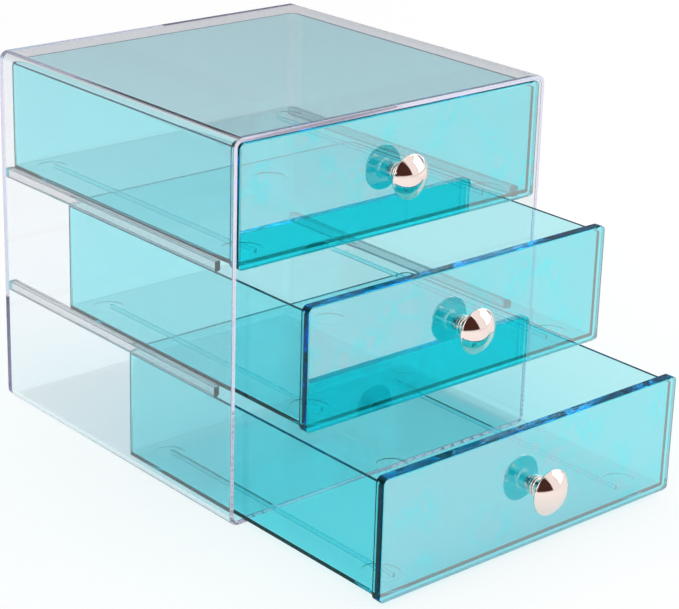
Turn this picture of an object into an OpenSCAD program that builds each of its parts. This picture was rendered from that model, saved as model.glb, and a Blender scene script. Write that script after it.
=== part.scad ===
// Desktop organizer with three pull-out drawers in a clear open-fronted case.
// The drawers run on strips bonded to the side walls, and the lowest one on
// the case floor. Origin: centre of the case's bottom face. Front faces -Y.

/* [Case] */
// Outside width of the case
case_w = 170; // [150:1:220]
// Outside depth of the case, front rim to back
case_d = 168; // [140:1:220]
// Outside height of the case
case_h = 165; // [150:1:220]
// Thickness of every case wall
case_wall = 2; // [1.6:0.1:2.6]
// Outer radius of the case's four long edges
case_r = 4.5; // [3.5:0.5:7]

/* [Drawer fronts] */
// Thickness of a drawer's front plate
front_t = 4.4; // [3.4:0.1:6]
// Radius of a front plate's corners
front_r = 3; // [2:0.5:5]
// Rounding round the edge of a front plate's face
front_edge = 0.8; // [0.4:0.1:1.2]
// Gap between a front plate and the case's side wall
side_gap = 0.8; // [0.4:0.1:1.2]
// Gap between the outer front plates and the case's top and floor
end_gap = 0.4; // [0.3:0.1:0.8]
// Gap between one front plate and the next
stack_gap = 1.6; // [1:0.1:2.4]

/* [Drawer trays] */
// Thickness of a tray's side and back walls
tray_wall = 1.6; // [1.2:0.1:2.2]
// Thickness of a tray's floor
tray_floor = 1.6; // [1.2:0.1:2.4]
// How far a tray's side stands in from the edge of its front plate
tray_inset = 1.4; // [1:0.1:2.2]
// Gap between a tray's rim and the runner strip above it
rim_gap = 1.6; // [0.6:0.1:3]
// Radius of a tray's upright back corners, inside
tray_r = 2.4; // [1.5:0.1:8]
// Radius along a tray's bottom edges, outside
tray_edge_r = 0.9; // [0.8:0.1:2.4]
// Gap behind a closed tray
back_gap = 1; // [0.5:0.1:3]

/* [Glide ribs under a tray] */
// Width of a glide rib
rib_w = 1.4; // [1:0.1:2.4]
// Distance of a glide rib from the tray's side
rib_inset = 17.5; // [12:0.5:30]
// Distance of a glide rib's ends from the tray's front and back
rib_end = 10; // [6:1:30]

/* [Runner strips] */
// Width of a tray's flat underside that rests on a runner strip
runner_seat = 0.9; // [0.6:0.1:2]
// Height of a runner strip
runner_h = 4.4; // [4.2:0.1:5.6]
// Distance from the case's front rim to a runner strip's nose
runner_setback = 12.5; // [8:0.5:30]
// Radius of a runner strip's nose
runner_nose = 2.5; // [1:0.1:3]

/* [Moulding marks in a tray's floor] */
// Diameter of a round mark
mark_d = 14; // [8:1:20]
// Depth of a round mark
mark_depth = 0.3; // [0.2:0.1:0.5]
// Distance of a corner mark's centre from the tray's inner walls
mark_inset = 12; // [11:1:20]

/* [Knobs] */
// Diameter of a knob's rim
knob_d = 19.4; // [14:0.2:26]
// Distance from the front plate to the knob's rim
knob_stand = 8; // [6:0.2:14]
// Thickness of the knob's rim
knob_rim = 1; // [0.6:0.1:1.6]
// Height of the dome over the rim
knob_dome = 4.2; // [2.6:0.2:6]
// Diameter of the knob's neck
neck_d = 6.6; // [6:0.2:8]
// Radius of the fillet between the neck and the flat back of the head
neck_fillet = 1.4; // [0.6:0.1:3]
// Diameter of the foot that sits on the front plate
foot_d = 8.6; // [8.2:0.2:12]
// Height of that foot
foot_h = 1.2; // [0.8:0.1:2]

/* [Knob screws] */
// Diameter of a screw's shank
screw_d = 3; // [2.6:0.1:3.5]
// Length of a screw's shank, through the plate and into the knob
screw_len = 11; // [9:0.5:12]
// Diameter of a screw's head
head_d = 6.2; // [5.4:0.1:8]
// Height of a screw's head
head_h = 2.2; // [1.8:0.1:3]
// Play between the shank and the hole in the plate, all round
hole_play = 0.25; // [0.1:0.05:0.4]

/* [Pose] */
// How far the top drawer stands out
open_top = 0; // [0:1:120]
// How far the middle drawer stands out
open_middle = 43; // [0:1:120]
// How far the bottom drawer stands out
open_bottom = 88; // [0:1:120]

/* [Hidden] */
$fn = 64;

drawers = 3;
bottom_row = 0;
middle_row = 1;
top_row = 2;
case_front = -case_d / 2;
inner_w = case_w - 2 * case_wall;
inner_h = case_h - 2 * case_wall;
inner_back = case_d / 2 - case_wall;

// Front plates share the height that the gaps leave
front_w = inner_w - 2 * side_gap;
front_h = (inner_h - 2 * end_gap - (drawers - 1) * stack_gap) / drawers;
pitch = front_h + stack_gap;
first_front = case_wall + end_gap;

// Runner strips are centred on the gap between two front plates, and reach in under a tray
runner_w = side_gap + tray_inset + tray_edge_r + runner_seat;
runner_len = inner_back - case_front - runner_setback;
runner_x = inner_w / 2 - runner_w / 2;

// A tray rests on the tops of its strips, so its underside follows them
tray_w = front_w - 2 * tray_inset;
tray_len = case_d - case_wall - back_gap;
tray_under = (runner_h - stack_gap) / 2;
tray_top = front_h - tray_under - rim_gap;
rib_x = tray_w / 2 - rib_inset;
rib_h = tray_under + end_gap;
cavity_w = tray_w - 2 * tray_wall;
inner_edge_r = tray_edge_r / 2;

knob_z = front_h / 2;
knob_end = knob_stand + knob_rim;
dome_r = (pow(knob_d / 2, 2) + pow(knob_dome, 2)) / (2 * knob_dome);
thread_play = 0.05;
recess_w = 0.9;
recess_l = 3.4;
recess_depth = 1.2;
head_dome = 0.8;
cut = 1;

clear_plastic = [0.93, 0.93, 0.96, 0.35];
teal_plastic = [0.35, 0.78, 0.86, 0.6];
chrome = [0.86, 0.86, 0.88];
steel = [0.66, 0.67, 0.69];

// Rectangle with round corners, centred
module round_rect(w, h, r) {
    square([w - 2 * r, h], center = true);
    square([w, h - 2 * r], center = true);
    for (x = [-1, 1], y = [-1, 1])
        translate([x * (w / 2 - r), y * (h / 2 - r)]) circle(r);
}

// Stands an outline drawn in X and Z up and gives it depth towards +Y
module deep(depth) {
    translate([0, depth, 0]) rotate([90, 0, 0]) linear_extrude(depth) children();
}

// Section of a plate across its thickness: depth along X, its face at x = 0 with round corners
module plate_section(span, t, edge) {
    translate([edge, -span / 2]) square([t - edge, span]);
    translate([0, -span / 2 + edge]) square([t, span - 2 * edge]);
    for (s = [-1, 1]) translate([edge, s * (span / 2 - edge)]) circle(edge);
}

// Upright plate with its face at y = 0, round corners and a rounded edge round that face
module soft_plate(w, h, t, r, edge) {
    intersection() {
        deep(t) round_rect(w, h, r);
        rotate([90, 0, 90]) linear_extrude(w + cut, center = true) plate_section(h, t, edge);
        linear_extrude(h + cut, center = true) rotate(90) plate_section(w, t, edge);
    }
}

// Solid block, rounded along its bottom edges and its upright back corners
module tray_block(w, y0, y1, z0, z1, corner_r, edge_r) {
    intersection() {
        translate([0, y0, 0]) deep(y1 - y0) {
            translate([-w / 2, z0 + edge_r]) square([w, z1 - z0 - edge_r]);
            translate([-w / 2 + edge_r, z0]) square([w - 2 * edge_r, z1 - z0]);
            for (x = [-1, 1]) translate([x * (w / 2 - edge_r), z0 + edge_r]) circle(edge_r);
        }
        translate([0, 0, z0 - cut]) linear_extrude(z1 - z0 + 2 * cut) {
            translate([-w / 2, y0 - cut]) square([w, y1 - y0 + cut - corner_r]);
            translate([-w / 2 + corner_r, y0 - cut]) square([w - 2 * corner_r, y1 - y0 + cut]);
            for (x = [-1, 1]) translate([x * (w / 2 - corner_r), y1 - corner_r]) circle(corner_r);
        }
    }
}

// Clear moulding: top, floor, two sides and back in one, open at the front
module case_shell() {
    color(clear_plastic) translate([0, case_front, case_h / 2]) difference() {
        deep(case_d) round_rect(case_w, case_h, case_r);
        translate([0, -cut, 0]) deep(case_d - case_wall + cut)
            round_rect(inner_w, inner_h, case_r - case_wall);
    }
}

// Strip bonded to a side wall; its nose is rounded to lead the tray in
module runner(side, row) {
    z = first_front + row * pitch - stack_gap / 2 - runner_h / 2;
    color(clear_plastic)
        translate([side * runner_x, case_front + runner_setback, z])
        mirror([side < 0 ? 1 : 0, 0, 0]) linear_extrude(runner_h) difference() {
            translate([-runner_w / 2, 0]) square([runner_w, runner_len]);
            difference() {
                translate([-runner_w / 2 - cut, -cut]) square(runner_nose + cut);
                translate([-runner_w / 2 + runner_nose, runner_nose]) circle(runner_nose);
            }
        }
}

// Low rib with round ends under a tray, which slides on the case floor
module glide_rib() {
    len = tray_len - front_t - 2 * rib_end - rib_w;
    translate([0, front_t + rib_end + rib_w / 2, tray_under - rib_h]) {
        translate([-rib_w / 2, 0, 0]) cube([rib_w, len, rib_h]);
        for (y = [0, len]) translate([0, y, 0]) cylinder(h = rib_h, d = rib_w);
    }
}

// Shallow round marks that the moulding tool leaves in a tray's floor
module floor_marks() {
    floor_z = tray_under + tray_floor;
    x = cavity_w / 2 - mark_inset;
    near = front_t + mark_inset;
    far = tray_len - tray_wall - mark_inset;
    for (p = [[-x, near], [x, near], [-x, far], [x, far], [0, (near + far) / 2]])
        translate([p[0], p[1], floor_z - mark_depth]) cylinder(h = mark_depth + cut, d = mark_d);
}

// One drawer: thick front plate, thin-walled tray and two glide ribs in one moulding
module drawer(row, open) {
    color(teal_plastic) translate([0, case_front - open, first_front + row * pitch])
        difference() {
            union() {
                translate([0, 0, front_h / 2])
                    soft_plate(front_w, front_h, front_t, front_r, front_edge);
                tray_block(tray_w, front_t / 2, tray_len, tray_under, tray_top,
                    tray_r + tray_wall, tray_edge_r);
                for (x = [-1, 1]) translate([x * rib_x, 0, 0]) glide_rib();
            }
            tray_block(cavity_w, front_t, tray_len - tray_wall, tray_under + tray_floor,
                front_h + cut, tray_r, inner_edge_r);
            floor_marks();
            translate([0, -cut, knob_z]) rotate([-90, 0, 0])
                cylinder(h = front_t + 2 * cut, d = screw_d + 2 * hole_play);
        }
}

// Turned knob: foot, slim neck, flat-backed head with a thin rim and a dome, and a blind screw hole
module knob(row, open) {
    color(chrome)
        translate([0, case_front - open, first_front + row * pitch + knob_z])
        rotate([90, 0, 0]) difference() {
            union() {
                cylinder(h = foot_h, d = foot_d);
                cylinder(h = knob_end, d = neck_d);
                translate([0, 0, knob_stand - neck_fillet]) rotate_extrude() difference() {
                    square([neck_d / 2 + neck_fillet, neck_fillet + knob_rim / 2]);
                    translate([neck_d / 2 + neck_fillet, 0]) circle(neck_fillet);
                }
                translate([0, 0, knob_stand]) cylinder(h = knob_rim, d = knob_d);
                translate([0, 0, knob_end]) intersection() {
                    translate([0, 0, knob_dome - dome_r]) sphere(dome_r);
                    cylinder(h = knob_dome + cut, d = knob_d);
                }
            }
            translate([0, 0, -cut])
                cylinder(h = screw_len - front_t + 2 * cut, d = screw_d + 2 * thread_play);
        }
}

// Pan-head screw from inside the drawer, through the plate and into the knob
module screw(row, open) {
    color(steel)
        translate([0, case_front - open + front_t, first_front + row * pitch + knob_z])
        rotate([90, 0, 0]) difference() {
            union() {
                translate([0, 0, -cut / 2]) cylinder(h = screw_len + cut / 2, d = screw_d);
                translate([0, 0, -head_h + head_dome]) cylinder(h = head_h - head_dome, d = head_d);
                translate([0, 0, -head_h]) cylinder(h = head_dome, d1 = head_d - 2 * head_dome, d2 = head_d);
            }
            for (a = [0, 90]) rotate([0, 0, a])
                translate([-recess_l / 2, -recess_w / 2, -head_h - cut])
                cube([recess_l, recess_w, recess_depth + cut]);
        }
}

module runner_upper_left() { runner(-1, top_row); }
module runner_upper_right() { runner(1, top_row); }
module runner_lower_left() { runner(-1, middle_row); }
module runner_lower_right() { runner(1, middle_row); }
module drawer_top() { drawer(top_row, open_top); }
module drawer_middle() { drawer(middle_row, open_middle); }
module drawer_bottom() { drawer(bottom_row, open_bottom); }
module knob_top() { knob(top_row, open_top); }
module knob_middle() { knob(middle_row, open_middle); }
module knob_bottom() { knob(bottom_row, open_bottom); }
module screw_top() { screw(top_row, open_top); }
module screw_middle() { screw(middle_row, open_middle); }
module screw_bottom() { screw(bottom_row, open_bottom); }

case_shell();
runner_upper_left();
runner_upper_right();
runner_lower_left();
runner_lower_right();
drawer_top();
drawer_middle();
drawer_bottom();
knob_top();
knob_middle();
knob_bottom();
screw_top();
screw_middle();
screw_bottom();
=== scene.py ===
import math

import bmesh
import bpy
from mathutils import Matrix, Vector


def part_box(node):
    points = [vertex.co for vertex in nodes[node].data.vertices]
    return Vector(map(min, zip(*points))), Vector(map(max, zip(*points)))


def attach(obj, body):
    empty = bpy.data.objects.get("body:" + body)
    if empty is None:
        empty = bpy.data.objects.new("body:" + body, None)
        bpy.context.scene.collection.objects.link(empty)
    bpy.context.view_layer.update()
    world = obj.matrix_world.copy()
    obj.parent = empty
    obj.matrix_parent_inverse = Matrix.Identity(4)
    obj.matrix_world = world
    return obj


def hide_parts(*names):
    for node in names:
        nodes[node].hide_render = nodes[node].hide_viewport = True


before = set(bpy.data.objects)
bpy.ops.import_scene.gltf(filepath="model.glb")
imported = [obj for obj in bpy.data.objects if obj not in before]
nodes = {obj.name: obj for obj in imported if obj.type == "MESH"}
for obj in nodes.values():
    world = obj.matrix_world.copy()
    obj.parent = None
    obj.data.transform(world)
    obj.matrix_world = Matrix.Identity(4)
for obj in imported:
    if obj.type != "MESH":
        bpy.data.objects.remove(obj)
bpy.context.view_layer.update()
scene = bpy.context.scene
print("frame loaded:", len(nodes), "nodes")

mm = 0.001
quarter = math.pi / 2
straight = 0.001  # turn of a band that runs straight
weldReach = 0.002 * mm
contactGap = 0.02 * mm  # air left between two pieces that touch
drawerNames = ("top", "middle", "bottom")  # a drawer, its knob and its screw all end in one of these


# Node helpers, shared by the materials and the Geometry Nodes trees

def plug(tree, socket, value):
    if isinstance(value, bpy.types.NodeSocket):
        tree.links.new(value, socket)
    else:
        socket.default_value = value


def addNode(tree, kind, inputs=None, **settings):
    node = tree.nodes.new(kind)
    for key, value in settings.items():
        setattr(node, key, value)
    for label, value in (inputs or {}).items():
        plug(tree, node.inputs[label], value)
    return node


def calc(tree, operation, *values):
    node = addNode(tree, "ShaderNodeMath", operation=operation)
    for socket, value in zip(node.inputs, values):
        plug(tree, socket, value)
    return node.outputs[0]


def add(tree, first, second):
    return calc(tree, "ADD", first, second)


def take(tree, first, second):
    return calc(tree, "SUBTRACT", first, second)


def times(tree, first, second):
    return calc(tree, "MULTIPLY", first, second)


def over(tree, first, second):
    return calc(tree, "DIVIDE", first, second)


def sine(tree, angle):
    return calc(tree, "SINE", angle)


def cosine(tree, angle):
    return calc(tree, "COSINE", angle)


def combine(tree, x, y, z):
    return addNode(tree, "ShaderNodeCombineXYZ", {0: x, 1: y, 2: z}).outputs[0]


def separate(tree, vector):
    return addNode(tree, "ShaderNodeSeparateXYZ", {0: vector}).outputs


def spread(tree, value, low, high, fromLow=0.3, fromHigh=0.7):
    return addNode(tree, "ShaderNodeMapRange", {
        "Value": value, "From Min": fromLow, "From Max": fromHigh, "To Min": low, "To Max": high,
    }).outputs["Result"]


def blendColours(tree, amount, first, second):
    node = addNode(tree, "ShaderNodeMix", {"Factor": amount}, data_type="RGBA")
    ends = [socket for socket in node.inputs if socket.type == "RGBA"]
    for socket, colour in zip(ends, (first, second)):
        plug(tree, socket, (*colour, 1) if isinstance(colour, tuple) else colour)
    return [socket for socket in node.outputs if socket.type == "RGBA"][0]


# Materials

def newMaterial(name):
    material = bpy.data.materials.new(name)
    material.use_nodes = True
    tree = material.node_tree
    tree.nodes.clear()
    return material, tree


def noise(tree, scale, detail=3.0, stretch=(1.0, 1.0, 1.0)):
    mapping = addNode(tree, "ShaderNodeMapping", {
        "Vector": addNode(tree, "ShaderNodeTexCoord").outputs["Object"], "Scale": stretch,
    })
    return addNode(tree, "ShaderNodeTexNoise", {
        "Vector": mapping.outputs[0], "Scale": scale, "Detail": detail,
    }).outputs["Fac"]


def bump(tree, height, strength, distance):
    return addNode(tree, "ShaderNodeBump", {
        "Height": height, "Strength": strength, "Distance": distance,
    }).outputs["Normal"]


# A clear plastic whose colour comes from the depth that light crosses. A look
# with a polishIor gives the faces marked as polished a strong gloss.

plasticSurface = {
    "flowScale": 14.0,
    "flowDetail": 2.0,
    "flowDepth": 0.4 * mm,
    "hazeScale": 60.0,
    "hazeDetail": 4.0,
    "polishRoughness": 0.01,
}


def clearPlastic(name, look):
    material, tree = newMaterial(name)
    surface = plasticSurface
    flow = noise(tree, surface["flowScale"], surface["flowDetail"], look["flow"])
    haze = noise(tree, surface["hazeScale"], surface["hazeDetail"])
    skin = blendColours(tree, flow, *look["skin"])
    shader = addNode(tree, "ShaderNodeBsdfPrincipled", {
        "Transmission Weight": 1.0,
        "IOR": look["ior"],
        "Roughness": spread(tree, haze, *look["roughness"]),
        "Normal": bump(tree, flow, look["wave"], surface["flowDepth"]),
    })
    if "polishIor" in look:
        polish = addNode(tree, "ShaderNodeAttribute", attribute_name="polish").outputs["Fac"]
        skin = blendColours(tree, polish, skin, look["polishSkin"])
        plug(tree, shader.inputs["Coat Weight"], polish)
        plug(tree, shader.inputs["Coat IOR"], look["polishIor"])
        plug(tree, shader.inputs["Coat Roughness"], surface["polishRoughness"])
        plug(tree, shader.inputs["Specular Tint"], (*look["polishTint"], 1))
    plug(tree, shader.inputs["Base Color"], skin)
    # Light on its way to the table goes straight through, tinted by the plastic's depth
    rays = addNode(tree, "ShaderNodeLightPath").outputs
    lit = addNode(tree, "ShaderNodeBsdfTransparent", {"Color": (*look["letsThrough"], 1)})
    mix = addNode(tree, "ShaderNodeMixShader", {
        0: calc(tree, "MAXIMUM", rays["Is Shadow Ray"], rays["Is Diffuse Ray"]),
        1: shader.outputs[0],
        2: lit.outputs[0],
    })
    absorb = addNode(tree, "ShaderNodeVolumeAbsorption", {
        "Color": (*look["passes"], 1), "Density": look["density"],
    })
    addNode(tree, "ShaderNodeOutputMaterial", {"Surface": mix.outputs[0], "Volume": absorb.outputs[0]})
    return material


metalSurface = {
    "cloudScale": 120.0,
    "grainScale": 900.0,
    "waveScale": 260.0,
    "waveDepth": 0.02 * mm,
}


def platedMetal(name, look):
    material, tree = newMaterial(name)
    surface = metalSurface
    grain = noise(tree, surface["grainScale"])
    wave = noise(tree, surface["waveScale"])
    shader = addNode(tree, "ShaderNodeBsdfPrincipled", {
        "Metallic": 1.0,
        "Base Color": blendColours(tree, noise(tree, surface["cloudScale"]), *look["skin"]),
        "Roughness": spread(tree, grain, *look["roughness"]),
        "Normal": bump(tree, wave, look["wave"], surface["waveDepth"]),
    })
    addNode(tree, "ShaderNodeOutputMaterial", {"Surface": shader.outputs[0]})
    return material


# Moulded pieces: a copy of the CAD mesh with its sharp edges broken

moulding = {
    "sameVertex": 0.001 * mm,
    "sameFlat": math.radians(0.3),
    "sharpFrom": math.radians(50),
    "smoothUpTo": math.radians(35),
}


def mouldedCopy(name, cadName, look, isPolished=None, staysCrisp=None):
    work = bmesh.new()
    work.from_mesh(nodes[cadName].data)
    bmesh.ops.remove_doubles(work, verts=work.verts, dist=moulding["sameVertex"])
    bmesh.ops.dissolve_limit(
        work, angle_limit=moulding["sameFlat"], verts=work.verts, edges=work.edges
    )
    sharp = [
        edge for edge in work.edges
        if edge.is_manifold and edge.is_convex
        and edge.calc_face_angle(0) > moulding["sharpFrom"]
        and not (staysCrisp and staysCrisp(edge))
    ]
    bmesh.ops.bevel(
        work, geom=sharp, offset=look["edgeRound"], offset_type="OFFSET",
        segments=look["roundSteps"], profile=0.5, affect="EDGES",
        clamp_overlap=False, loop_slide=True,
    )
    if isPolished:
        polish = work.faces.layers.float.new("polish")
        for face in work.faces:
            face[polish] = float(isPolished(face))
    for face in work.faces:
        face.smooth = True
    for edge in work.edges:
        edge.smooth = edge.calc_face_angle(0) < moulding["smoothUpTo"]
    mesh = bpy.data.meshes.new(name)
    work.to_mesh(mesh)
    work.free()
    mesh.materials.append(look["material"])
    piece = bpy.data.objects.new(name, mesh)
    scene.collection.objects.link(piece)
    weighted = piece.modifiers.new("evenNormals", "WEIGHTED_NORMAL")
    weighted.keep_sharp = True
    return applied(piece)


def applied(piece):
    # The piece with its modifiers worked into a plain mesh
    depsgraph = bpy.context.evaluated_depsgraph_get()
    mesh = bpy.data.meshes.new_from_object(piece.evaluated_get(depsgraph))
    mesh.name = piece.name
    piece.modifiers.clear()
    piece.data = mesh
    return piece


def settle(piece, body, slotName, *cadNames):
    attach(piece, body)
    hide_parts(*cadNames)


caseLook = {
    "edgeRound": 0.35 * mm,
    "roundSteps": 3,
    "material": clearPlastic("clearPlastic", {
        "ior": 1.5,
        "passes": (0.94, 0.925, 0.97),
        "density": 16.0,
        "skin": ((0.985, 0.98, 0.99), (0.965, 0.965, 0.975)),
        "letsThrough": (0.98, 0.98, 0.98),
        "roughness": (0.0, 0.02),
        "flow": (1.0, 0.25, 1.0),
        "wave": 0.04,
    }),
}
settle(mouldedCopy("caseShell", "case_shell", caseLook), "case", "clear_plastic", "case_shell")
print("case made")


drawerLook = {
    "edgeRound": 0.28 * mm,
    "roundSteps": 3,
    "faceReach": 0.05 * mm,  # a face this near the front, and turned to it, is polished
    "faceTurn": -0.95,
    "markHeights": (0.5 * mm, 6.0 * mm),  # the moulding marks stay crisp: they lie at these heights
    "markInset": (4.0 * mm, 5.0 * mm, 2.0 * mm),  # and this far in from the sides, front and back
    "material": clearPlastic("tealPlastic", {
        "ior": 1.45,
        "passes": (0.0, 0.867, 0.905),
        "density": 300.0,
        "skin": ((0.96, 0.99, 1.0), (0.93, 0.98, 0.99)),
        "letsThrough": (0.6, 0.97, 0.975),
        "roughness": (0.0, 0.02),
        "flow": (1.0, 0.4, 1.0),
        "wave": 0.03,
        "polishIor": 3.3,
        "polishSkin": (0.03, 0.94, 0.98),
        "polishTint": (0.1, 1.0, 1.0),
    }),
}


def mouldedDrawer(name, look):
    cadName = "drawer_" + name
    low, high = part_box(cadName)
    markLow, markHigh = look["markHeights"]
    sideInset, frontInset, backInset = look["markInset"]

    def onFront(face):
        atFront = face.calc_center_median().y < low.y + look["faceReach"]
        return atFront and face.normal.y < look["faceTurn"]

    def onMark(edge):
        return all(
            low.z + markLow < co.z < low.z + markHigh
            and low.x + sideInset < co.x < high.x - sideInset
            and low.y + frontInset < co.y < high.y - backInset
            for co in (vert.co for vert in edge.verts)
        )

    drawer = mouldedCopy("drawer" + name.capitalize(), cadName, look, onFront, onMark)
    settle(drawer, cadName, "teal_plastic", cadName)


for name in drawerNames:
    mouldedDrawer(name, drawerLook)
print("drawers made")


# Geometry Nodes: grids wrapped round an axis, welded and set in their place

def newTree(name, sizes):
    tree = bpy.data.node_groups.new(name, "GeometryNodeTree")
    tree.interface.new_socket("Mesh", in_out="OUTPUT", socket_type="NodeSocketGeometry")
    for label, value in sizes.items():
        if isinstance(value, bpy.types.Material):
            kind = "NodeSocketMaterial"
        elif isinstance(value, int):
            kind = "NodeSocketInt"
        elif isinstance(value, float):
            kind = "NodeSocketFloat"
        else:
            kind = "NodeSocketVector"
        socket = tree.interface.new_socket(label, in_out="INPUT", socket_type=kind)
        socket.default_value = value
    return tree, addNode(tree, "NodeGroupInput").outputs


def unitGrid(tree, columns, rows):
    # A grid, and how far along its columns and its rows a point is, from 0 to 1
    grid = addNode(tree, "GeometryNodeMeshGrid", {"Vertices X": columns, "Vertices Y": rows})
    place = separate(tree, addNode(tree, "GeometryNodeInputPosition").outputs[0])
    return grid.outputs["Mesh"], add(tree, place[0], 0.5), add(tree, place[1], 0.5)


def setPlace(tree, mesh, position):
    return addNode(tree, "GeometryNodeSetPosition", {
        "Geometry": mesh, "Position": position,
    }).outputs[0]


def wrapRound(tree, mesh, radius, height, around):
    # The axis of a turned piece points along -Y
    return setPlace(tree, mesh, combine(
        tree,
        times(tree, radius, cosine(tree, around)),
        times(tree, height, -1.0),
        times(tree, radius, sine(tree, around)),
    ))


def joined(tree, meshes):
    join = addNode(tree, "GeometryNodeJoinGeometry")
    for mesh in meshes:
        tree.links.new(mesh, join.inputs[0])
    return join.outputs[0]


def welded(tree, mesh):
    return addNode(tree, "GeometryNodeMergeByDistance", {
        "Geometry": mesh, "Distance": weldReach,
    }).outputs[0]


def moved(tree, mesh, **change):
    return addNode(tree, "GeometryNodeTransform", {"Geometry": mesh, **change}).outputs[0]


def closeAndPlace(tree, mesh, given):
    # Welds the bands, moves the piece to its place, marks sharp edges and sets the material
    whole = moved(tree, welded(tree, mesh), Translation=given["Centre"])
    edgeAngle = addNode(tree, "GeometryNodeInputMeshEdgeAngle").outputs["Unsigned Angle"]
    smooth = addNode(tree, "GeometryNodeSetShadeSmooth", {
        "Geometry": whole,
        "Selection": calc(tree, "GREATER_THAN", edgeAngle, given["Sharp angle"]),
        "Shade Smooth": False,
    }, domain="EDGE")
    realize = addNode(tree, "GeometryNodeRealizeInstances", {0: smooth.outputs[0]})
    paint = addNode(tree, "GeometryNodeSetMaterial", {
        "Geometry": realize.outputs[0], "Material": given["Finish"],
    })
    addNode(tree, "NodeGroupOutput", {0: paint.outputs[0]})


def treePiece(name, tree, sizes):
    # Runs a tree with these sizes and keeps the result as a plain mesh
    piece = bpy.data.objects.new(name, bpy.data.meshes.new(name))
    scene.collection.objects.link(piece)
    modifier = piece.modifiers.new("build", "NODES")
    modifier.node_group = tree
    sockets = {item.name: item.identifier for item in tree.interface.items_tree}
    for label, value in sizes.items():
        modifier[sockets[label]] = value
    return applied(piece)


# A band of a turned piece: an arc from one radius and height to another, spun
# round the piece's axis. Turn is how far the arc bends.

def turnedBandTree():
    tree, given = newTree("turnedBand", {
        "From radius": 0.0,
        "From height": 0.0,
        "To radius": 0.0,
        "To height": 0.0,
        "Turn": straight,
        "Steps": 6,
        "Segments": 96,
    })
    grid, across, along = unitGrid(
        tree, add(tree, given["Segments"], 1.0), add(tree, given["Steps"], 1.0)
    )
    around = times(tree, across, math.tau)
    half = over(tree, given["Turn"], 2.0)
    angle = take(tree, times(tree, given["Turn"], along), half)
    chordR = take(tree, given["To radius"], given["From radius"])
    chordH = take(tree, given["To height"], given["From height"])
    double = times(tree, sine(tree, half), 2.0)
    forward = over(tree, add(tree, sine(tree, angle), sine(tree, half)), double)
    sideways = over(tree, take(tree, cosine(tree, half), cosine(tree, angle)), double)
    radius = add(tree, given["From radius"], add(
        tree, times(tree, chordR, forward), times(tree, chordH, sideways)
    ))
    height = add(tree, given["From height"], take(
        tree, times(tree, chordH, forward), times(tree, chordR, sideways)
    ))
    addNode(tree, "NodeGroupOutput", {0: wrapRound(tree, grid, radius, height, around)})
    return tree


turnedBand = turnedBandTree()


def turnedBands(tree, outline, segments):
    # outline holds (radius, height, turn, steps); each row is reached from the row before
    return joined(tree, [
        addNode(tree, "GeometryNodeGroup", {
            "From radius": start[0],
            "From height": start[1],
            "To radius": end[0],
            "To height": end[1],
            "Turn": end[2],
            "Steps": end[3],
            "Segments": segments,
        }, node_tree=turnedBand).outputs[0]
        for start, end in zip(outline, outline[1:])
    ])


def knobTree(sizes):
    tree, given = newTree("knob", sizes)
    steps = given["Steps"]
    hole, depth, seat = given["Hole radius"], given["Hole depth"], given["Seat gap"]
    foot, footTop, footEdge = given["Foot radius"], given["Foot height"], given["Foot rounding"]
    neck, fillet, flare = given["Neck radius"], given["Foot fillet"], given["Neck fillet"]
    rim, rimEdge, stand = given["Rim radius"], given["Rim rounding"], given["Stand"]
    rimTop = add(tree, stand, given["Rim thickness"])
    footFlat = take(tree, foot, footEdge)
    rimFlat = take(tree, rim, rimEdge)
    slope = calc(tree, "ARCTANGENT", over(tree, given["Dome height"], rimFlat))
    domeTurn = times(tree, slope, 2.0)
    outline = [
        (0.0, depth, straight, 1),
        (hole, depth, straight, 1),
        (hole, seat, straight, 2),
        (footFlat, seat, straight, 1),
        (foot, add(tree, seat, footEdge), -quarter, steps),
        (foot, take(tree, footTop, footEdge), straight, 1),
        (footFlat, footTop, -quarter, steps),
        (add(tree, neck, fillet), footTop, straight, 1),
        (neck, add(tree, footTop, fillet), quarter, steps),
        (neck, take(tree, stand, flare), straight, 2),
        (add(tree, neck, flare), stand, quarter, steps),
        (rimFlat, stand, straight, 2),
        (rim, add(tree, stand, rimEdge), -quarter, steps),
        (rim, take(tree, rimTop, rimEdge), straight, 1),
        (rimFlat, rimTop, take(tree, domeTurn, quarter), steps),
        (0.0, add(tree, rimTop, given["Dome height"]), times(tree, domeTurn, -1.0),
         given["Dome steps"]),
    ]
    closeAndPlace(tree, turnedBands(tree, outline, given["Segments"]), given)
    return tree


screwRadius = 1.5 * mm
holePlay = 0.05 * mm
knobStand = 8.0 * mm
rimThick = 1.0 * mm
knobLow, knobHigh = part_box("knob_top")
knobSizes = {
    "Rim radius": (knobHigh.x - knobLow.x) / 2,
    "Rim thickness": rimThick,
    "Rim rounding": 0.35 * mm,
    "Dome height": knobHigh.y - knobLow.y - knobStand - rimThick,
    "Dome steps": 28,
    "Stand": knobStand,
    "Neck radius": 3.3 * mm,
    "Neck fillet": 1.4 * mm,
    "Foot radius": 4.3 * mm,
    "Foot height": 1.2 * mm,
    "Foot rounding": 0.3 * mm,
    "Foot fillet": 0.5 * mm,
    "Hole radius": screwRadius + holePlay,
    "Hole depth": 7.6 * mm,
    "Seat gap": contactGap,
    "Steps": 6,
    "Segments": 112,
    "Sharp angle": math.radians(35),
    "Centre": (0.0, 0.0, 0.0),
    "Finish": platedMetal("knobChrome", {
        "skin": ((0.90, 0.76, 0.71), (0.86, 0.72, 0.67)),
        "roughness": (0.02, 0.05),
        "wave": 0.1,
    }),
}
turnedKnob = knobTree(knobSizes)
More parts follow.
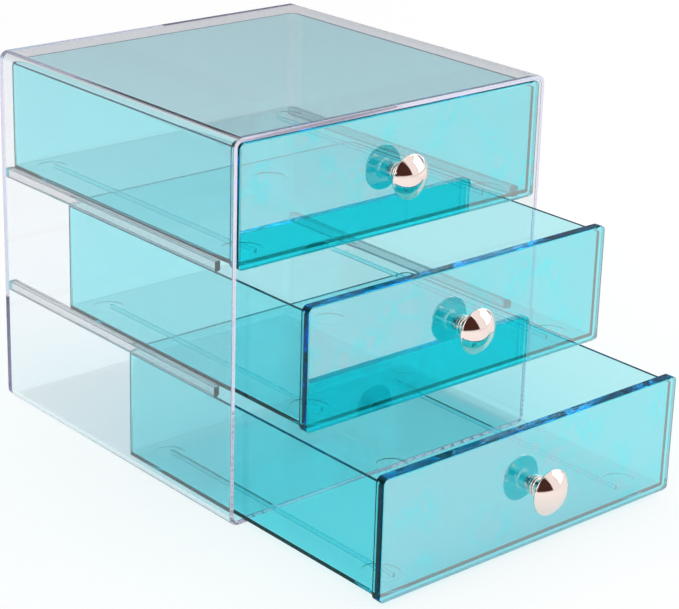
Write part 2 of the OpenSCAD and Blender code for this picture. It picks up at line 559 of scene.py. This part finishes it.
for name in drawerNames:
    low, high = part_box("knob_" + name)
    centre = Vector(((low.x + high.x) / 2, high.y, (low.z + high.z) / 2))
    knob = treePiece("knob" + name.capitalize(), turnedKnob, {**knobSizes, "Centre": centre})
    settle(knob, "drawer_" + name, "chrome", "knob_" + name)
print("knobs made")


# A pan-head machine screw: the head is turned, the thread is a grid whose
# radius rises and falls along a helix, and two blocks cut the cross recess

def threadedShank(tree, given):
    rowsPerTurn = 8.0
    length = calc(tree, "MULTIPLY_ADD", given["Seat gap"], 2.0, given["Shank length"])
    turns = over(tree, length, given["Thread pitch"])
    rows = calc(tree, "ROUND", times(tree, turns, rowsPerTurn))
    grid, across, along = unitGrid(
        tree, add(tree, given["Segments"], 1.0), add(tree, rows, 1.0)
    )
    phase = take(tree, times(tree, along, turns), across)
    ridge = times(tree, calc(tree, "PINGPONG", phase, 0.5), 2.0)
    rise = calc(tree, "MINIMUM", times(tree, along, given["Thread rise"]), 1.0)
    fall = calc(tree, "MINIMUM", times(tree, take(tree, 1.0, along), given["Thread fall"]), 1.0)
    swell = times(tree, ridge, times(tree, rise, fall))
    radius = add(tree, given["Root radius"], times(tree, swell, given["Thread depth"]))
    height = take(tree, times(tree, along, length), given["Seat gap"])
    return wrapRound(tree, grid, radius, height, times(tree, across, math.tau))


def screwTree(sizes):
    tree, given = newTree("panHeadScrew", sizes)
    root, head, rounding = given["Root radius"], given["Head radius"], given["Head rounding"]
    headTop = times(tree, given["Head height"], -1.0)
    seat = times(tree, given["Seat gap"], -1.0)
    tip = add(tree, given["Shank length"], given["Seat gap"])
    panHead = turnedBands(tree, [
        (0.0, headTop, straight, 1),
        (take(tree, head, rounding), headTop, straight, 2),
        (head, add(tree, headTop, rounding), -quarter, given["Head steps"]),
        (head, seat, straight, 1),
        (root, seat, straight, 1),
    ], given["Segments"])
    endDisc = turnedBands(tree, [
        (root, tip, straight, 1),
        (0.0, tip, straight, 2),
    ], given["Segments"])
    body = welded(tree, joined(tree, (panHead, threadedShank(tree, given), endDisc)))
    cut = addNode(
        tree, "GeometryNodeMeshBoolean", {"Mesh 1": body}, operation="DIFFERENCE", solver="EXACT"
    )
    block = addNode(tree, "GeometryNodeMeshCube", {"Size": combine(
        tree, given["Recess length"], times(tree, given["Recess depth"], 2.0), given["Recess width"]
    )}).outputs["Mesh"]
    atHeadTop = combine(tree, 0.0, given["Head height"], 0.0)
    for turn in (quarter / 2, quarter * 3 / 2):
        arm = moved(tree, block, Translation=atHeadTop, Rotation=(0.0, turn, 0.0))
        tree.links.new(arm, cut.inputs["Mesh 2"])
    closeAndPlace(tree, cut.outputs["Mesh"], given)
    return tree


threadDepth = 0.3 * mm
headHeight = 2.2 * mm
screwLow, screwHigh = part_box("screw_top")
screwSizes = {
    "Root radius": screwRadius - threadDepth,
    "Shank length": screwHigh.y - screwLow.y - headHeight - 2 * contactGap,
    "Thread pitch": 0.5 * mm,
    "Thread depth": threadDepth,
    "Thread rise": 30.0,  # how steeply the thread starts under the head
    "Thread fall": 16.0,  # and runs out at the tip
    "Head radius": (screwHigh.x - screwLow.x) / 2,
    "Head height": headHeight,
    "Head rounding": 1.3 * mm,
    "Head steps": 8,
    "Recess width": 0.9 * mm,
    "Recess length": 3.4 * mm,
    "Recess depth": 1.3 * mm,
    "Seat gap": contactGap,
    "Segments": 40,
    "Sharp angle": math.radians(40),
    "Centre": (0.0, 0.0, 0.0),
    "Finish": platedMetal("screwSteel", {
        "skin": ((0.74, 0.75, 0.78), (0.62, 0.63, 0.66)),
        "roughness": (0.16, 0.3),
        "wave": 0.3,
    }),
}
panHeadScrew = screwTree(screwSizes)
for name in drawerNames:
    low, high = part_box("screw_" + name)
    centre = Vector(((low.x + high.x) / 2, high.y - headHeight, (low.z + high.z) / 2))
    screw = treePiece("screw" + name.capitalize(), panHeadScrew, {**screwSizes, "Centre": centre})
    settle(screw, "drawer_" + name, "screw_steel", "screw_" + name)
print("screws made")


# Runner strips: one strip is a round-cornered section run from nose to back,
# and it stands at the four places where a strip is bonded to a side wall

def stripSection(tree, size, level, rounding):
    # One coordinate round the section: flat sides, and corners that follow level from -1 to 1
    flat = take(tree, over(tree, size, 2.0), rounding)
    rounded = calc(tree, "ROUND", times(tree, level, 1000.0))  # 0 where the level is nearly 0
    return add(tree, times(tree, calc(tree, "SIGN", rounded), flat), times(tree, level, rounding))


def stripMesh(tree, given):
    width, length, nose = given["Width"], given["Length"], given["Nose radius"]
    noseSteps, rounding = given["Nose steps"], given["Edge rounding"]
    rows = add(tree, noseSteps, 4.0)
    grid, across, along = unitGrid(tree, add(tree, given["Section steps"], 1.0), rows)
    around = times(tree, across, -math.tau)
    # Row 0 and the last row close the ends; those between run round the nose and then to the back
    last = take(tree, rows, 1.0)
    row = calc(tree, "ROUND", times(tree, along, last))
    isEnd = add(
        tree, calc(tree, "LESS_THAN", row, 0.5),
        calc(tree, "GREATER_THAN", row, take(tree, last, 0.5)),
    )
    isOpen = take(tree, 1.0, isEnd)
    atBack = calc(tree, "GREATER_THAN", row, add(tree, noseSteps, 1.5))
    share = over(tree, take(tree, row, 1.0), noseSteps)
    share = calc(tree, "MINIMUM", calc(tree, "MAXIMUM", share, 0.0), 1.0)
    swing = times(tree, share, quarter)
    inNose = times(tree, nose, take(tree, 1.0, cosine(tree, swing)))
    depth = add(
        tree, times(tree, inNose, take(tree, 1.0, atBack)), times(tree, length, atBack)
    )
    # How much of the width is left at this row of the nose
    cutAway = times(tree, nose, take(tree, 1.0, sine(tree, swing)))
    reach = over(tree, take(tree, width, cutAway), width)
    halfWidth = over(tree, width, 2.0)
    edge = times(tree, add(
        tree, stripSection(tree, width, cosine(tree, around), rounding), halfWidth
    ), reach)
    middle = times(tree, halfWidth, reach)
    wide = add(tree, times(tree, edge, isOpen), times(tree, middle, isEnd))
    tall = times(tree, stripSection(tree, given["Height"], sine(tree, around), rounding), isOpen)
    return welded(tree, setPlace(tree, grid, combine(tree, wide, depth, tall)))


def runnerTree(sizes):
    tree, given = newTree("runnerStrips", sizes)
    # The four places are the corners of an upright grid; the right-hand strips are turned over
    corners = addNode(tree, "GeometryNodeMeshGrid", {
        "Size X": given["Span"], "Size Y": given["Rise"], "Vertices X": 2, "Vertices Y": 2,
    })
    place = separate(tree, addNode(tree, "GeometryNodeInputPosition").outputs[0])
    turn = times(tree, calc(tree, "GREATER_THAN", place[0], 0.0), math.pi)
    toRotation = addNode(tree, "FunctionNodeEulerToRotation", {0: combine(tree, 0.0, turn, 0.0)})
    strips = addNode(tree, "GeometryNodeInstanceOnPoints", {
        "Points": moved(tree, corners.outputs["Mesh"], Rotation=(quarter, 0.0, 0.0)),
        "Instance": stripMesh(tree, given),
        "Rotation": toRotation.outputs[0],
    })
    closeAndPlace(tree, strips.outputs[0], given)
    return tree


upperLow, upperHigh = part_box("runner_upper_left")
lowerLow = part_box("runner_lower_left")[0]
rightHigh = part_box("runner_upper_right")[1]
runnerSizes = {
    "Width": upperHigh.x - upperLow.x - contactGap,
    "Height": upperHigh.z - upperLow.z - 2 * contactGap,
    "Length": upperHigh.y - upperLow.y - contactGap,
    "Nose radius": 2.5 * mm,
    "Edge rounding": 0.3 * mm,
    "Nose steps": 12,
    "Section steps": 24,
    "Sharp angle": math.radians(45),
    "Span": rightHigh.x - upperLow.x - 2 * contactGap,
    "Rise": upperLow.z - lowerLow.z,
    "Centre": (0.0, upperLow.y, (upperHigh.z + lowerLow.z) / 2),
    "Finish": clearPlastic("stripPlastic", {
        "ior": 1.5,
        "passes": (0.5, 0.5, 0.52),
        "density": 90.0,
        "skin": ((0.97, 0.97, 0.98), (0.90, 0.90, 0.92)),
        "letsThrough": (0.98, 0.98, 0.98),
        "roughness": (0.0, 0.05),
        "flow": (60.0, 0.6, 60.0),  # fine lines along the strip
        "wave": 0.35,
    }),
}
runnerStrips = treePiece("runnerStrips", runnerTree(runnerSizes), runnerSizes)
settle(runnerStrips, "case", "clear_plastic", *[
    f"runner_{row}_{side}" for row in ("upper", "lower") for side in ("left", "right")
])
print("runner strips made")


# Studio floor. Seen straight it is a whitened backdrop; mirrored in the object
# or seen through it, it is a white table in real shade with a painted glow on it,
# which fades so that the table darkens towards the right as painted shade.

floorLook = {
    "size": 12.0,
    "drop": 0.3 * mm,
    "colour": (0.3, 0.3, 0.3),
    "glow": 0.735,
    "tableColour": (0.85, 0.85, 0.85),
    # painted light on the table, seen only in mirrors and through the object: its strength falls from
    # the first value to the second across the x span below, as painted shade towards the right
    "paintedTableLight": (0.28, 0.14),
    "paintedShadeSpan": (0.05, 0.45),
}


def studioFloor(look):
    mesh = bpy.data.meshes.new("studioFloor")
    work = bmesh.new()
    bmesh.ops.create_grid(work, x_segments=2, y_segments=2, size=look["size"] / 2)
    bmesh.ops.translate(work, verts=work.verts, vec=(0, 0, -look["drop"]))
    work.to_mesh(mesh)
    work.free()
    material, tree = newMaterial("whiteFloor")
    rays = addNode(tree, "ShaderNodeLightPath").outputs
    through = calc(tree, "MAXIMUM", rays["Is Glossy Ray"], rays["Is Transmission Ray"])
    place = separate(tree, addNode(tree, "ShaderNodeTexCoord").outputs["Object"])
    # painted light on the table, fading towards the right as painted shade
    paintedTableLight = spread(tree, place[0], *look["paintedTableLight"], *look["paintedShadeSpan"])
    diffuse = addNode(tree, "ShaderNodeBsdfDiffuse", {
        "Color": blendColours(tree, through, look["colour"], look["tableColour"]),
    })
    # camera rays get the evenly bright backdrop glow; mirrors and clear pieces get the painted table
    # light
    glow = addNode(tree, "ShaderNodeEmission", {"Strength": add(
        tree, times(tree, rays["Is Camera Ray"], look["glow"]), times(tree, through, paintedTableLight)
    )})
    both = addNode(tree, "ShaderNodeAddShader", {0: diffuse.outputs[0], 1: glow.outputs[0]})
    addNode(tree, "ShaderNodeOutputMaterial", {"Surface": both.outputs[0]})
    mesh.materials.append(material)
    floor = bpy.data.objects.new("studioFloor", mesh)
    scene.collection.objects.link(floor)


# Studio room: white, with a dim wall behind the object and a dark three-sided
# gap in front of it. Both are seen and mirrored, but the light stays white.

roomLook = {
    "light": 0.95,
    "wallColour": (0.36, 0.36, 0.40),
    "wallAim": (0.64, 0.77, 0.0),
    "wallEdge": (-0.2, 0.1),
    "wallFoot": (0.06, 0.15),
    "wallTop": (0.50, 0.70),
    "gapColour": (0.07, 0.028, 0.02),
    "gapSides": ((-0.924, -0.282, -0.258), (0.304, -0.836, -0.456), (0.0, 0.0, 1.0)),
    "gapEdge": (0.0, 0.05),
}


def studioRoom(look):
    world = bpy.data.worlds.new("studioRoom")
    scene.world = world
    world.use_nodes = True
    tree = world.node_tree
    tree.nodes.clear()
    sky = addNode(tree, "ShaderNodeTexCoord").outputs["Generated"]

    def towards(aim):
        return addNode(
            tree, "ShaderNodeVectorMath", {0: sky, 1: aim}, operation="DOT_PRODUCT"
        ).outputs["Value"]

    height = towards((0.0, 0.0, 1.0))
    wall = times(
        tree, spread(tree, height, 0.0, 1.0, *look["wallFoot"]),
        spread(tree, height, 1.0, 0.0, *look["wallTop"]),
    )
    wall = times(tree, wall, spread(tree, towards(look["wallAim"]), 0.0, 1.0, *look["wallEdge"]))
    gap = 1.0
    for side in look["gapSides"]:
        gap = times(tree, gap, spread(tree, towards(side), 0.0, 1.0, *look["gapEdge"]))
    colour = blendColours(tree, wall, (1.0, 1.0, 1.0), look["wallColour"])
    colour = blendColours(tree, gap, colour, look["gapColour"])
    rays = addNode(tree, "ShaderNodeLightPath").outputs
    through = calc(tree, "MAXIMUM", rays["Is Glossy Ray"], rays["Is Transmission Ray"])
    seen = calc(tree, "MAXIMUM", rays["Is Camera Ray"], through)
    seen = times(tree, seen, calc(tree, "LESS_THAN", rays["Diffuse Depth"], 0.5))
    light = addNode(tree, "ShaderNodeBackground", {"Strength": look["light"]})
    backdrop = addNode(tree, "ShaderNodeBackground", {"Color": colour, "Strength": 1.0})
    mix = addNode(tree, "ShaderNodeMixShader", {
        0: seen, 1: light.outputs[0], 2: backdrop.outputs[0],
    })
    addNode(tree, "ShaderNodeOutputWorld", {"Surface": mix.outputs[0]})


lampAim = Vector((0.0, -0.03, 0.08))
lampLooks = {
    "keyLamp": {"place": (1.35, -0.75, 0.72), "size": 1.1, "power": 7.0},
    "fillLamp": {"place": (-1.15, -0.65, 0.75), "size": 0.8, "power": 3.0},
}


def softLamp(name, look):
    lamp = bpy.data.lights.new(name, "AREA")
    lamp.shape = "SQUARE"
    lamp.size = look["size"]
    lamp.energy = look["power"]
    holder = bpy.data.objects.new(name, lamp)
    holder.location = look["place"]
    holder.rotation_mode = "QUATERNION"
    holder.rotation_quaternion = (lampAim - Vector(look["place"])).to_track_quat("-Z", "Y")
    holder.visible_camera = False
    scene.collection.objects.link(holder)


# The camera as it was fitted to the photo's straight edges

cameraLook = {
    "place": Vector((-552.68, -679.72, 389.49)) * mm,
    "yaw": 0.700,
    "pitch": -0.341,
    "roll": 0.022,
    "focalPixels": 2070.3,
    "centrePixel": (300.0, 250.0),
    "imageSize": (679, 609),
    "sensorWidth": 36.0,
    "nearest": 0.01,
}


def placeCamera(look):
    yaw, pitch, roll = look["yaw"], look["pitch"], look["roll"]
    forward = Vector((
        math.sin(yaw) * math.cos(pitch), math.cos(yaw) * math.cos(pitch), math.sin(pitch)
    ))
    right = forward.cross(Vector((0, 0, 1))).normalized()
    up = right.cross(forward)
    tiltedRight = right * math.cos(roll) + up * math.sin(roll)
    tiltedUp = up * math.cos(roll) - right * math.sin(roll)
    wide, tall = look["imageSize"]
    centreX, centreY = look["centrePixel"]
    data = bpy.data.cameras.new("photoCamera")
    data.sensor_width = look["sensorWidth"]
    data.lens = look["focalPixels"] * look["sensorWidth"] / wide
    data.shift_x = (wide / 2 - centreX) / wide
    data.shift_y = (centreY - tall / 2) / wide
    data.clip_start = look["nearest"]
    view = bpy.data.objects.new("photoCamera", data)
    turn = Matrix((tiltedRight, tiltedUp, -forward)).transposed()
    view.matrix_world = Matrix.Translation(look["place"]) @ turn.to_4x4()
    scene.collection.objects.link(view)
    scene.camera = view


studioFloor(floorLook)
studioRoom(roomLook)
for name, look in lampLooks.items():
    softLamp(name, look)
placeCamera(cameraLook)
scene.view_settings.view_transform = "Standard"
plasticBounces = 160  # light is caught for long in the case's edges
scene.cycles.max_bounces = plasticBounces
scene.cycles.transmission_bounces = plasticBounces
scene.cycles.glossy_bounces = plasticBounces
scene.cycles.transparent_max_bounces = 64
print("studio made")

bpy.context.view_layer.update()
